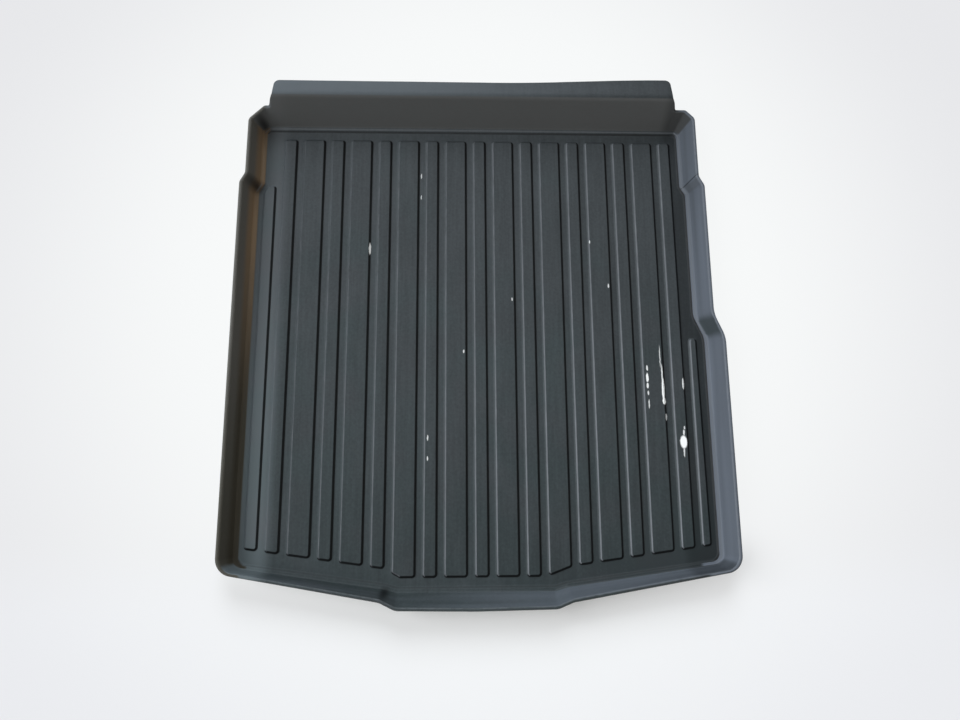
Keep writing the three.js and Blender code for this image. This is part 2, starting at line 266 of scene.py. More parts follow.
slope = (face_top[1] - foot_top[1]) / (face_top[0] - foot_top[0] + SEAT_RUN)
bend = face_top + (FLAP_BEND_HEIGHT - face_top[1]) * np.array([1 / slope, 1])
flange_edge = np.array([FLANGE_REACH, FLANGE_EDGE_HEIGHT])
bend_ends = [bend + FLAP_BEND_LENGTH * (end - bend) / np.linalg.norm(end - bend)
             for end in (face_top, flange_edge)]
t = np.linspace(0, 1, BEND_CURVE_POINTS)[:, None]
bend_curve = (1 - t) ** 2 * bend_ends[0] + 2 * t * (1 - t) * bend + t * t * bend_ends[1]
flap_curve = np.vstack([face_top, bend_curve, flange_edge])
FLAP_LENGTH = length_of(flap_curve)
RIM_LENGTH = length_of(rim_curve)
print(f"the flap's section is {FLAP_LENGTH:.1f} mm long and the rim's {RIM_LENGTH:.1f} mm")

# %% [markdown]
# The flap's outline is drawn flat, as the distance from the middle line and the reach up the
# section. Its flange is shorter at the left end.

# %% Outline of the flap
FLAP_SPAN = 14
FLAP_ARC_STEPS = 6
FLANGE_ARC_STEPS = 12
FLAP_EDGE_STEPS = 9


def flap_end(side):
    """Half of the flap's outline, from its foot on the rim to the flange's corner"""
    full = FLAP_LENGTH - (FLANGE_SHORTENING if side < 0 else 0)
    foot_across = REAR_HALF_WIDTH - FLAP_SHOULDER
    bend_across = foot_across - FLAP_TAPER
    outline = np.array([
        [HALF_WIDTH, RIM_LENGTH],
        [foot_across, RIM_LENGTH],
        [bend_across, np.linalg.norm(bend - face_top)],
        [bend_across - FLANGE_TAPER, full],
        [0, full],
    ])
    foot = arc(*outline[:3], FLAP_FOOT_RADIUS, FLAP_ARC_STEPS)
    middle = arc(*outline[1:4], FLAP_BEND_RADIUS, FLAP_ARC_STEPS)
    top = arc(*outline[2:], FLANGE_CORNER_RADIUS, FLANGE_ARC_STEPS)
    edges = [
        np.linspace(start[-1], stop[0], FLAP_EDGE_STEPS)[1:-1]
        for start, stop in ((foot, middle), (middle, top))
    ]
    return np.vstack([foot, edges[0], middle, edges[1], top]) * (side, 1)


ends = [flap_end(1), flap_end(-1)[::-1]]
start_across, stop_across = ends[0][-1][0], ends[1][0][0]
spans = math.ceil((start_across - stop_across) / FLAP_SPAN)
across = np.linspace(start_across, stop_across, spans)[1:-1]
shorter = FLANGE_SHORTENING * smoothstep(start_across - across, 0, SHORTENING_WIDTH)
outline = np.vstack([ends[0], np.stack([across, FLAP_LENGTH - shorter], axis=-1), ends[1]])
print("points on the flap's outline:", len(outline))

# %% [markdown]
# ## Stations round the rim
#
# A station is one cut through the wall: its place on the rim and on the foot, how far it reaches up
# the flap, and how much it follows the flap's section. The corners' arcs give the stations at the
# corners, and the straights between them are split evenly.

# %% Stations
SPAN = 18


def fan(seat_cut):
    """The foot's straight is shorter than the rim's, so the flap's stations fan out"""
    return (REAR_HALF_WIDTH - SIDE_RUN - SEAT_FOOT_CUT) / (REAR_HALF_WIDTH - seat_cut[0])


def stations():
    chain = [nose_middle, *right, *left]
    steps = [c["steps"] for c in chain]
    rims, feet = (
        arcs([c[name][0] for c in chain], [c[name][1] for c in chain], steps) for name in ("rim", "foot")
    )
    groups = [np.hstack([rim, foot, np.zeros((len(rim), 2))]) for rim, foot in zip(rims, feet)]
    x = outline[:, 0]
    fans = np.where(x > 0, fan(SEAT_CUT_RIGHT), fan(SEAT_CUT_LEFT))
    flap = np.stack([
        MIDDLE_X + x, np.full_like(x, SEAT_Y), MIDDLE_X + x * fans, np.full_like(x, SEAT_Y - SEAT_RUN),
        outline[:, 1], smoothstep(outline[0][0] - abs(x), 0, FLAP_BLEND_WIDTH),
    ], axis=-1)
    groups.insert(len(right) + 1, flap)
    filled = []
    for group, following in zip(groups, groups[1:] + groups[:1]):
        gap = np.linalg.norm((following[0] - group[-1])[:4])
        filled += [group, np.linspace(group[-1], following[0], math.ceil(gap / SPAN) + 1)[1:-1]]
    return np.vstack(filled)


wall = stations()
print("stations round the liner:", len(wall))

# %% [markdown]
# ## The wall's section
#
# From the floor the section goes up a small riser, over a ledge and a fillet and up the sloping
# face to the rim or the flap. It is worked out for all the stations at once.


# %% Sections of the wall
def sections(rim_steps):
    """The upper side's points at each station: stations × points × 3"""
    rim, foot, reach, blend = wall[:, 0:2], wall[:, 2:4], wall[:, 4], wall[:, 5]
    outward = rim - foot
    outward /= np.linalg.norm(outward, axis=1, keepdims=True)
    leaning = outward + (np.array([0, 1]) - outward) * blend[:, None]
    leaning /= np.linalg.norm(leaning, axis=1, keepdims=True)

    def at(origin, direction, run, height):
        plan = origin + direction * np.reshape(run, (-1, 1))
        return np.column_stack([plan, np.broadcast_to(SHEET + height, len(plan))])

    path = np.cumsum([(0, 0), RISER, LEDGE, FILLET], axis=0)
    lower = [at(foot, outward, run, height) for run, height in path]
    lower.append(at(rim, leaning, *face_top))
    upper = []
    for t in np.linspace(0, 1, rim_steps + 1)[1:]:
        on_rim = at_lengths(rim_curve, t * RIM_LENGTH)
        on_flap = at_lengths(flap_curve, reach * t)
        both = on_rim + (on_flap - on_rim) * blend[:, None]
        upper.append(at(rim, leaning, both[:, 0], both[:, 1]))
    return np.stack([*lower, *upper], axis=1)


# %% [markdown]
# Moulding leaves no sharp fold, so the first folds of the upper side are rounded. Each is cut back
# on both sides, and a curve with the fold as its middle point joins the two ends. A Bevel modifier
# rounds folds too, but here each row of points also keeps its distance up the wall.

# %% Round folds
RIM_STEPS = 26
FOLD_CUTS = (1.7, 1.5, 1.6, 1.3)
FOLD_STEPS = 5
FLOOR_LIP = 2.6


def with_round_folds(section):
    """Adds a point on the floor and rounds the first folds of every section"""
    inward = section[:, 0] - section[:, 2]
    inward[:, 2] = 0
    inward /= np.linalg.norm(inward, axis=1, keepdims=True)
    points = [section[:, 0] + inward * FLOOR_LIP, *(section[:, i] for i in range(section.shape[1]))]
    rows = [points[0]]
    for i, cut in enumerate(FOLD_CUTS, 1):
        ends = [points[i] + cut * (points[k] - points[i])
                / np.linalg.norm(points[k] - points[i], axis=1, keepdims=True) for k in (i - 1, i + 1)]
        for t in np.linspace(0, 1, FOLD_STEPS):
            rows.append((1 - t) ** 2 * ends[0] + 2 * t * (1 - t) * points[i] + t * t * ends[1])
    return np.stack([*rows, *points[len(FOLD_CUTS) + 1:]], axis=1)


top_section = with_round_folds(sections(RIM_STEPS))
print("rows on the upper side:", top_section.shape[1])

# %% [markdown]
# The underside comes from the section with its sharp folds. The Solidify modifier could make one,
# but this one follows the part's source. Each point moves in by the sheet's thickness, square to
# all the faces that meet there, which the least squares of their normals give.
# A trace of the identity keeps the equations solvable where the faces lie in one plane.

# %% The underside
UNDER_RIM_STEPS = 9
TRACE = 1e-6
LONGEST_MOVE = math.sqrt(2)


def moved_in(section, thickness):
    """The underside of a closed band of sections whose first row joins the flat floor"""
    following = np.roll(section, -1, axis=0)
    normals = np.cross(section[:, 1:] - following[:, :-1], following[:, 1:] - section[:, :-1])
    normals /= np.linalg.norm(normals, axis=2, keepdims=True)
    floor = np.broadcast_to([0.0, 0.0, 1.0], (len(section), 1, 3))
    faces = np.concatenate([floor, normals, normals[:, -1:]], axis=1)
    pairs = [faces[:, :-1], faces[:, 1:]]
    around = np.stack([*pairs, *(np.roll(pair, 1, axis=0) for pair in pairs)], axis=2)
    matrix = np.einsum("srki,srkj->srij", around, around) + TRACE * np.eye(3)
    move = np.linalg.solve(matrix, around.sum(axis=2)[..., None])[..., 0]
    length = np.linalg.norm(move, axis=2, keepdims=True)
    return section - thickness * move * np.clip(length, 1, LONGEST_MOVE) / length


under_section = moved_in(sections(UNDER_RIM_STEPS), SHEET)
print("rows on the underside:", under_section.shape[1])

# %% [markdown]
# ## The bars' plans
#
# Narrow and wide bars take turns at one pitch. Each is a strip of the field, cut by half planes.
# Where the field leaves less than the thinnest bar, the bar ends square.

# %% Plans of the bars
CROWDED = 2.5 * BAR_FLANK


def cut(plan, distance):
    """The part of a plan where the signed distance is not below zero"""
    kept = []
    for p, q in zip(plan, plan[1:] + plan[:1]):
        a, b = distance(p), distance(q)
        kept += [p] if a >= 0 else []
        kept += [p + (q - p) * a / (a - b)] if a * b < 0 else []
    return kept


def bar_plan(field, middle, width):
    side = -1 if middle < 0 else 1
    inner, outer = middle - side * width / 2, middle + side * width / 2
    thinnest = cut(field, lambda p: side * (p[0] - inner) - THINNEST_BAR)
    if len(thinnest) < 3:
        return None
    high = max(p[1] for p in thinnest)
    plan = field
    inside = (
        lambda p: side * (p[0] - inner),
        lambda p: side * (outer - p[0]),
        lambda p: high - p[1],
    )
    for distance in inside:
        plan = cut(plan, distance)
    # A corner of the field that falls close to the strip's own corner is left out
    of_field = [any(np.allclose(p, f) for f in field) for p in plan]
    crowded = [any(0 < np.linalg.norm(p - q) < CROWDED for q in plan) for p in plan]
    clear = [p for p, known, close in zip(plan, of_field, crowded) if not (known and close)]
    # So is a corner where the plan hardly turns
    ways = [(q - p) / np.linalg.norm(q - p) for p, q in zip(clear, clear[1:] + clear[:1])]
    turns = [np.arccos(np.clip(a @ b, -1, 1)) for a, b in zip(ways[-1:] + ways, ways)]
    return [p for p, turn in zip(clear, turns) if turn > LEAST_TURN]


field = [c["field"] for c in [*right, *left] if c["field"] is not None]
bars_each_way = math.ceil(WIDTH / 2 / BAR_PITCH)
bars = [
    bar_plan(field, n * BAR_PITCH + BAR_SHIFT, WIDE_BAR if n % 2 else NARROW_BAR)
    for n in range(-bars_each_way, bars_each_way + 1)
]
bars = [plan for plan in bars if plan]
print("bars:", len(bars))

# %% [markdown]
# Every ring round a bar is its plan moved in by one distance. The radii of its corners shrink by
# the same distance, so that the flank keeps one width all the way round.

# %% Rings round a bar
BAR_STEPS = 9
LEAST_RADIUS = BAR_FLANK / 5
TOP_INSETS = (-1.4, -0.9, -0.4, 0.2, 0.8, 1.4, 3.6, 4.2, 4.8, 5.4, 5.9)


def inset_ring(plan, distance):
    edges = [(q - p) / np.linalg.norm(q - p) for p, q in zip(plan, plan[1:] + plan[:1])]
    lines = [p + distance * np.array([-e[1], e[0]]) for p, e in zip(plan, edges)]
    moved, radii = [], []
    for i, line in enumerate(lines):
        before, after = edges[i - 1], edges[i]
        turn = before[0] * after[1] - before[1] * after[0]
        gap = line - lines[i - 1]
        moved.append(lines[i - 1] + before * (gap[0] * after[1] - gap[1] * after[0]) / turn)
        radii.append(max(BAR_CORNER_RADIUS - math.copysign(distance, turn * distance), LEAST_RADIUS))
    return np.vstack(arcs(moved, radii, [BAR_STEPS] * len(plan)))


# %% [markdown]
# ## The flat sheet
#
# The mesh starts with its bars still flat. Each point carries an inset, its distance inside the
# outline of a bar, and a distance up the wall, which the finish uses later. The floor is filled
# between the wall's foot and the bars, by triangles between points that are already there.

# %% Rings, bands and fills
OUTSIDE = -9.0
INSIDE_THE_OUTLINE = 1
SAME_POINT = 1e-5


class Sheet:
    """Points with their attributes, and faces, of the mesh in the making"""

    def __init__(self):
        self.points, self.insets, self.heights, self.faces = [], [], [], []

    def ring(self, points, inset=OUTSIDE, along=0.0):
        first = len(self.points)
        self.points += [tuple(point) for point in points]
        self.insets += [inset] * len(points)
        self.heights += [along] * len(points)
        return list(range(first, len(self.points)))

    def band(self, inner, outer, up):
        for i in range(len(inner)):
            k = (i + 1) % len(inner)
            face = (inner[i], outer[i], outer[k], inner[k])
            self.faces.append(face if up else face[::-1])

    def fill(self, outline, holes, up):
        rings = [outline, *holes]
        index = [i for ring in rings for i in ring]
        spans, first = [], 0
        for ring in rings:
            spans.append(list(range(first, first + len(ring))))
            first += len(ring)
        flat = [Vector(self.points[i][:2]) for i in index]
        points, _, triangles, sources, _, within = delaunay_2d_cdt(
            flat, [], spans, INSIDE_THE_OUTLINE, SAME_POINT)
        assert len(points) == len(index), "the floor's outlines cross"
        origin = [index[near[0]] for near in sources]
        # What lies within the outline alone is floor, and what lies within a hole too is left out
        for triangle, rings_round_it in zip(triangles, within):
            face = [origin[i] for i in triangle]
            if len(rings_round_it) == 1:
                self.faces.append(face if up else face[::-1])


# %% [markdown]
# The underside is made in the same way as the upper side, a sheet's thickness lower. Its bars are
# narrower by what the sheet's thickness takes on the flank. A last band closes the rim.

# %% The flat sheet
MM = 0.001
UNDER_INSETS = (-0.8, 0, 0.8, 4.2, 5, 5.4)
flank_angle = math.atan2(BAR_HEIGHT, BAR_FLANK)
under_shift = SHEET * math.tan(flank_angle / 2)


def add_bars(sheet, insets, shift, z, up):
    holes = []
    for plan in bars:
        rings = []
        for inset in insets:
            flat = inset_ring(plan, inset + shift)
            rings.append(sheet.ring(np.column_stack([flat, np.full(len(flat), z)]), inset))
        for outer, inner in zip(rings, rings[1:]):
            sheet.band(inner, outer, up)
        sheet.faces.append(rings[-1] if up else rings[-1][::-1])
        holes.append(rings[0])
    return holes


sheet = Sheet()
edges = []
for section, insets, shift, z, up in (
    (top_section, TOP_INSETS, 0, SHEET, True),
    (under_section, UNDER_INSETS, under_shift, 0, False),
):
    steps = np.linalg.norm(np.diff(section, axis=1), axis=2).mean(axis=0)
    along = np.concatenate([[0], np.cumsum(steps)])
    rows = [sheet.ring(section[:, j], along=along[j]) for j in range(section.shape[1])]
    for inner, outer in zip(rows, rows[1:]):
        sheet.band(inner, outer, up)
    sheet.fill(rows[0], add_bars(sheet, insets, shift, z, up), up)
    edges.append(rows[-1])
sheet.band(edges[0], edges[1], True)

mesh = bpy.data.meshes.new("liner")
mesh.from_pydata([tuple(MM * c for c in p) for p in sheet.points], [], sheet.faces)
for name, values in (("inset", sheet.insets), ("up_wall", sheet.heights)):
    attribute = mesh.attributes.new(name, "FLOAT", "POINT")
    attribute.data.foreach_set("value", np.array(values, np.float32) * MM)
mesh.shade_smooth()
mesh.validate(verbose=True)
flat_liner = bpy.data.objects.new("flat_liner", mesh)
bpy.context.scene.collection.objects.link(flat_liner)
print("points and faces of the flat sheet:", len(mesh.vertices), len(mesh.polygons))

# %% [markdown]
# ## Nodes
#
# The same few lines build every node tree. A number in a tree can be written as a Python
# expression: the class Number wraps a socket, and each operator adds its Math node.


# %% Numbers
class Number:
    """A number in a node tree"""

    def __init__(self, tree, socket):
        self.tree, self.socket = tree, socket

    def __add__(self, other):
        return self.tree.math("ADD", self, other)

    def __sub__(self, other):
        return self.tree.math("SUBTRACT", self, other)

    def __rsub__(self, other):
        return self.tree.math("SUBTRACT", other, self)

    def __mul__(self, other):
        return self.tree.math("MULTIPLY", self, other)

    def __truediv__(self, other):
        return self.tree.math("DIVIDE", self, other)

    def __rtruediv__(self, other):
        return self.tree.math("DIVIDE", other, self)

    __radd__, __rmul__ = __add__, __mul__


# %% [markdown]
# Vectors and colours go through Vector Math and Mix, because a Math node would turn them grey. Any
# other node comes from one method that takes its type, its settings and its inputs.


# %% Node trees
class Tree:
    """A node tree in the making"""

    def __init__(self, tree, prefix):
        self.tree, self.prefix = tree, prefix

    def node(self, kind, settings=None, inputs=None):
        node = self.tree.nodes.new(self.prefix + kind)
        for name, value in (settings or {}).items():
            setattr(node, name, value)
        for name, value in (inputs or {}).items():
            self.feed(node.inputs[name], value)
        return node

    def feed(self, socket, value):
        value = getattr(value, "socket", value)
        if isinstance(value, bpy.types.NodeSocket):
            self.tree.links.new(value, socket)
        else:
            socket.default_value = value

    def number(self, socket):
        return Number(self, socket)

    def math(self, operation, *values, clamp=False):
        node = self.tree.nodes.new("ShaderNodeMath")
        node.operation, node.use_clamp = operation, clamp
        for socket, value in zip(node.inputs, values):
            self.feed(socket, value)
        return self.number(node.outputs[0])

    def vector(self, operation, *values):
        """The result of Vector Math, which is a number for a length and a dot product"""
        node = self.tree.nodes.new("ShaderNodeVectorMath")
        node.operation = operation
        for socket, value in zip(node.inputs, values):
            self.feed(socket, value)
        if operation in ("LENGTH", "DOT_PRODUCT"):
            return self.number(node.outputs["Value"])
        return node.outputs["Vector"]


# %% [markdown]
# ## Pressing the bars
#
# On the real sheet a press raises all bars at once. A Geometry Nodes tree does the same: it lifts
# each point by the slope of the flank times its inset, held between the floor and the bar's height.
# A smooth maximum and a smooth minimum round the foot and the edge of every bar alike.

# %% The tree that presses the bars
TREE_INPUTS = {
    "Bar Height": BAR_HEIGHT * MM,
    "Flank Run": BAR_FLANK * MM,
    "Rounding": 1.0 * MM,
    "Waviness": 0.25 * MM,
    "Wave Length": 90 * MM,
    "Still Foot": 30 * MM,
}


def press_tree(material):
    group = bpy.data.node_groups.new("press bars", "GeometryNodeTree")
    group.interface.new_socket("Geometry", in_out="INPUT", socket_type="NodeSocketGeometry")
    for name in TREE_INPUTS:
        group.interface.new_socket(name, in_out="INPUT", socket_type="NodeSocketFloat")
    group.interface.new_socket("Geometry", in_out="OUTPUT", socket_type="NodeSocketGeometry")
    tree = Tree(group, "")
    given = tree.node("NodeGroupInput").outputs
    numbers = (tree.number(given[name]) for name in TREE_INPUTS)
    height, run, rounding, waviness, wave, still_foot = numbers
    inset = tree.node("GeometryNodeInputNamedAttribute", {"data_type": "FLOAT"}, {"Name": "inset"})
    rise = tree.math("SMOOTH_MAX", tree.number(inset.outputs["Attribute"]) * height / run, 0.0, rounding)
    rise = tree.math("SMOOTH_MIN", rise, height, rounding)
    # The wall of a soft sheet is never quite straight, its foot is stiffer, and the floor lies flat
    up_wall = tree.node("GeometryNodeInputNamedAttribute", {"data_type": "FLOAT"}, {"Name": "up_wall"})
    place = tree.node("GeometryNodeInputPosition")
    noise = tree.node("ShaderNodeTexNoise", {"noise_dimensions": "3D"},
                      {"Vector": place.outputs[0], "Scale": 1 / wave, "Detail": 1.0})
    free = tree.math("DIVIDE", tree.number(up_wall.outputs["Attribute"]), still_foot, clamp=True)
    wave_height = (tree.number(noise.outputs[0]) - 0.5) * waviness * free * 2
    normal = tree.node("GeometryNodeInputNormal")
    wavy = tree.node("ShaderNodeVectorMath", {"operation": "SCALE"},
                     {"Vector": normal.outputs[0], "Scale": wave_height})
    lift = tree.node("ShaderNodeCombineXYZ", inputs={"Z": rise})
    offset = tree.vector("ADD", wavy.outputs[0], lift.outputs[0])
    pressed = tree.node("GeometryNodeSetPosition", inputs={"Geometry": given[0], "Offset": offset})
    real = tree.node("GeometryNodeRealizeInstances", inputs={"Geometry": pressed.outputs[0]})
    dressed = tree.node("GeometryNodeSetMaterial",
                        inputs={"Geometry": real.outputs[0], "Material": material})
    tree.node("NodeGroupOutput", inputs={"Geometry": dressed.outputs[0]})
    return group


# %% [markdown]
# ## Finishes
#
# A finish needs the same few things again and again: a soft step between two values, the band
# between two steps, the distance from a place, a noise of a given size, and a mix of two colours.
# They become methods of the shader's tree.


# %% Tools for a finish
class Finish(Tree):
    """A shader's node tree in the making"""

    def __init__(self, name):
        self.material = bpy.data.materials.new(name)
        self.material.use_nodes = True
        super().__init__(self.material.node_tree, "ShaderNode")
        self.shader = self.tree.nodes["Principled BSDF"]

    def split(self, vector):
        return [self.number(socket) for socket in self.node("SeparateXYZ", inputs={0: vector}).outputs]

    def attribute(self, name):
        return self.number(self.node("Attribute", {"attribute_name": name}).outputs["Fac"])

    def step(self, value, low, high):
        limits = {"Value": value, "From Min": low, "From Max": high}
        return self.number(self.node("MapRange", {"interpolation_type": "SMOOTHSTEP"}, limits).outputs[0])

    def band(self, value, low, high, soft):
        return self.step(value, low - soft, low + soft) * (1 - self.step(value, high - soft, high + soft))

    def stretched(self, place, by):
        return self.vector("MULTIPLY", place, by)

    def reach(self, place, centre, by):
        """The distance from a centre, with each direction stretched"""
        return self.vector("LENGTH", self.stretched(self.vector("SUBTRACT", place, centre), by))

    def noise(self, place, size, detail=2.0):
        inputs = {"Vector": place, "Scale": 1 / size, "Detail": detail}
        return self.number(self.node("TexNoise", {"noise_dimensions": "3D"}, inputs).outputs[0]) - 0.5

    def mix(self, factor, below, above, blend="MIX"):
        settings = {"data_type": "RGBA", "blend_type": blend, "clamp_factor": True}
        return self.node("Mix", settings, {0: factor, 6: below, 7: above}).outputs[2]


def rgb(red, green, blue):
    return red, green, blue, 1


# %% [markdown]
# ## The rubber's own colour, with painted light
#
# The rubber is charcoal. It has been used: a thin grey film lies on it, patchy, and streaks run along
# the bars, the way the mat is wiped. So two charcoals are mixed by noises of several sizes. Over the
# film lies a painted falloff of light from the left window: the floor is lighter on the left and
# darker to the right and to the front, and the channels are lighter than the tops on the left and
# darker on the right. A pale strip beside the left wall is painted light, where that wall shades the
# floor. A faint teal lies over the front. The wear could be painted on an image, but noises stay
# sharp from close by.

# %% Charcoal and film
rubber = Finish("charcoal rubber")
coordinates = rubber.node("TexCoord").outputs
place = coordinates["Object"]
x, y, z = rubber.split(place)
normal_x, normal_y, normal_z = rubber.split(coordinates["Normal"])
inset = rubber.attribute("inset")
up_wall = rubber.attribute("up_wall")
lengthwise = rubber.stretched(place, (1, 0.06, 1))

CHARCOAL = rgb(0.030, 0.035, 0.037)
GREY_FILM = rgb(0.056, 0.064, 0.068)
PAINTED_LIGHT_PALE = rgb(0.122, 0.134, 0.143)
TEAL = rgb(0.90, 1.01, 0.99)

to_right, to_front = rubber.step(x, -0.05, 0.45), rubber.step(y * -1, 0.1, 0.5)
along_left_wall = 1 - rubber.step(x, -0.435, -0.4)
channel = 1 - rubber.step(inset, -1 * MM, 0.5 * MM)
# Painted light: the film falls off to the right and the front, and the channels are lighter on the left
film_and_painted_falloff = 0.47 - to_right * 0.12 - to_front * 0.3 + along_left_wall * 0.3
film_and_painted_falloff = film_and_painted_falloff + channel * (0.2 - to_right * 0.45)
film_and_painted_falloff = film_and_painted_falloff + rubber.noise(place, 150 * MM) * 0.5 + rubber.noise(place, 5 * MM) * 0.7
film_and_painted_falloff = film_and_painted_falloff + rubber.noise(lengthwise, 4 * MM) * 0.5 + rubber.noise(lengthwise, 12 * MM) * 0.5
colour = rubber.mix(film_and_painted_falloff, CHARCOAL, GREY_FILM)
# Painted light: a pale strip beside the left wall, where that wall shades the floor
colour = rubber.mix(along_left_wall * (0.5 + rubber.step(y * -1, -0.3, 0.2) * 0.4), colour, PAINTED_LIGHT_PALE)
teal = rubber.step(rubber.noise(place, 110 * MM) - y * 0.4 - x * 0.15, -0.15, 0.3)
colour = rubber.mix(teal, colour, TEAL, "MULTIPLY")
print("nodes for the rubber's own colour:", len(rubber.tree.nodes))

# %% [markdown]
# ## The walls, with painted light and shade
#
# Each wall has its own tone, and much of it is painted light. The right wall, which faces the left
# window, is painted lighter and bluish, in soft bands that follow the rim, and has painted shade, a
# dark teal, where the bulge ends and its facets face the front. The wall at the nose has some of that
# painted light, more to the right. The left wall is a dull olive, and its lower half is brown at the
# rear and dark at the front. The seat wall is painted a lighter, warmer grey, and its flange a bluish
# sheen, both painted light. Which wall a point is on follows from its normal, its place and how far
# up the wall it is.


# %% Tones of the walls
def looking(component):
    """How far a point looks along one component of its normal"""
    return rubber.step(component, 0.35, 0.7)


on_wall, on_face = rubber.step(up_wall, 4 * MM, 8 * MM), rubber.step(up_wall, 13 * MM, 17 * MM)
nose_face, seat_face = on_face * looking(normal_y), on_face * looking(normal_y * -1)
at_seat = looking(normal_y * -1) * rubber.step(y, 0.4, 0.42)
at_side = on_wall * (1 - looking(normal_y)) * (1 - at_seat)
right_wall = at_side * rubber.step(x, 0.43, 0.44)
left_wall = at_side * rubber.step(x * -1, 0.45, 0.458)
round_the_rim = rubber.node("CombineXYZ", inputs={0: up_wall, 1: y * 0.05, 2: x * 0.05}).outputs[0]
bands = rubber.noise(round_the_rim, 22 * MM, 1.0)
shaded_jog_face = right_wall * rubber.step(normal_y * -1, 0.12, 0.4) * (1 - rubber.step(y, 0.15, 0.25))

PAINTED_BLUE_LIGHT = rgb(0.172, 0.196, 0.232)
PAINTED_SHADE_TEAL = rgb(0.050, 0.065, 0.067)
PAINTED_LIGHT_WARM_GREY = rgb(0.085, 0.086, 0.084)
OLIVE = rgb(0.096, 0.093, 0.082)
DULL_OLIVE = rgb(0.062, 0.059, 0.047)
DARK_OLIVE = rgb(0.042, 0.037, 0.025)
BROWN = rgb(0.180, 0.124, 0.072)
FLANGE_PAINTED_SHEEN = rgb(0.092, 0.107, 0.118)

# Painted light: the right wall, facing the left window, is lighter and bluish in soft bands
colour = rubber.mix(right_wall * (0.9 + bands * 0.7 - rubber.step(y, 0, 0.5) * 0.25), colour, PAINTED_BLUE_LIGHT)
# Painted shade: the facets where the bulge ends face the front, away from the light
colour = rubber.mix(shaded_jog_face * 0.8, colour, PAINTED_SHADE_TEAL)
# Painted light on the wall at the nose, more to the right
colour = rubber.mix(nose_face * (rubber.step(x, -0.2, 0.35) * 0.32 + bands * 0.6 + 0.04), colour, PAINTED_BLUE_LIGHT)
# Painted light: the seat wall is a lighter, warmer grey than the rubber
colour = rubber.mix(seat_face * 0.8, colour, PAINTED_LIGHT_WARM_GREY)
colour = rubber.mix(left_wall, colour, rubber.mix(rubber.step(y, -0.4, 0), DULL_OLIVE, OLIVE))
lower_half = 1 - rubber.step(up_wall, 24 * MM, 44 * MM)
left_wall_brown = left_wall * lower_half * (0.9 + rubber.noise(lengthwise, 9 * MM) * 0.7)
colour = rubber.mix(left_wall_brown, colour, rubber.mix(rubber.step(y, -0.2, 0.25), DARK_OLIVE, BROWN))
# Painted sheen: the flange is a lighter bluish grey, more at the left
flange = rubber.step(normal_z, 0.75, 0.92) * rubber.step(z, 62 * MM, 74 * MM) * rubber.step(y, 0.49, 0.5)
colour = rubber.mix(flange * (0.95 - rubber.step(x, -0.45, 0.3) * 0.95 + bands * 0.6), colour, FLANGE_PAINTED_SHEEN)
print("nodes with the walls:", len(rubber.tree.nodes))

# %% [markdown]
# ## Painted shade in the creases, and worn, highlighted edges
#
# Shade is painted into the creases as a near-black colour: at the wall's foot, in a few pockets where
# the wall steps, in the channel beside the right wall, along a line across the right shoulder, and on
# the flanks of the bars that look to the right and to the front, away from the light.

# %% Painted shade in the creases
PAINTED_SHADE = rgb(0.003, 0.0035, 0.004)
SHADED_POCKETS = ((-473, 322, 22), (-463, 461, 17), (-186, -512, 16), (436, 456, 12))

flank = rubber.band(inset, 0.4 * MM, 4.5 * MM, 0.5 * MM)
shaded_side = rubber.math("MAXIMUM", rubber.step(normal_x, 0.2, 0.45), rubber.step(normal_y * -1, 0.2, 0.45))
foot_crease = rubber.band(up_wall, 3.2 * MM, 7.5 * MM, 1 * MM)
# Painted shade on the bar flanks that look to the right and to the front
colour = rubber.mix(flank * shaded_side * 0.95, colour, PAINTED_SHADE)
# Painted shade at the wall's foot, on the right, at the seat and faintly at the front
seat_or_right = rubber.math(
    "MAXIMUM", rubber.step(normal_x * -1, 0.1, 0.4), rubber.step(normal_y * -1, 0.1, 0.4) * 0.7)
front_crease = rubber.step(normal_y, 0.05, 0.3) * 0.35
painted_shade = foot_crease * (seat_or_right + front_crease) * (0.9 + rubber.noise(lengthwise, 12 * MM) * 0.5)
# Painted shade in the pockets where the wall steps
for pocket_x, pocket_y, radius in SHADED_POCKETS:
    reach = rubber.reach(place, (pocket_x * MM, pocket_y * MM, 0), (1, 1, 0))
    painted_shade = rubber.math("MAXIMUM", painted_shade, 0.85 - rubber.step(reach, 0, radius * MM) * 0.85)
# Painted shade in the channel beside the right wall
painted_shade = rubber.math("MAXIMUM", painted_shade, channel * rubber.step(x, 0.395, 0.42) * 0.4)
# The right shoulder has one sharp line of painted shade, aslant across the wall
line_x, line_y, across_x, across_y = 436 * MM, 323 * MM, 0.507, 0.862
from_line = rubber.math("ABSOLUTE", (y - line_y) * across_y - (x - line_x) * across_x)
painted_shade = rubber.math("MAXIMUM", painted_shade, right_wall * (0.8 - rubber.step(from_line, 0.5 * MM, 2.5 * MM) * 0.8))
colour = rubber.mix(painted_shade, colour, PAINTED_SHADE)
print("nodes with the creases:", len(rubber.tree.nodes))

# %% [markdown]
# The bars' upper edges that look to the left carry a thin pale line, broken up by streaks, and more
# so towards the front and the right; it is partly wear and partly a painted highlight from the left
# window. The wall's ledge has such a line of painted highlight on the right and at the seat, and the
# rim is rubbed on all sides but the left.

# %% Worn edges and painted highlights
WEAR_AND_HIGHLIGHT = rgb(0.150, 0.160, 0.172)

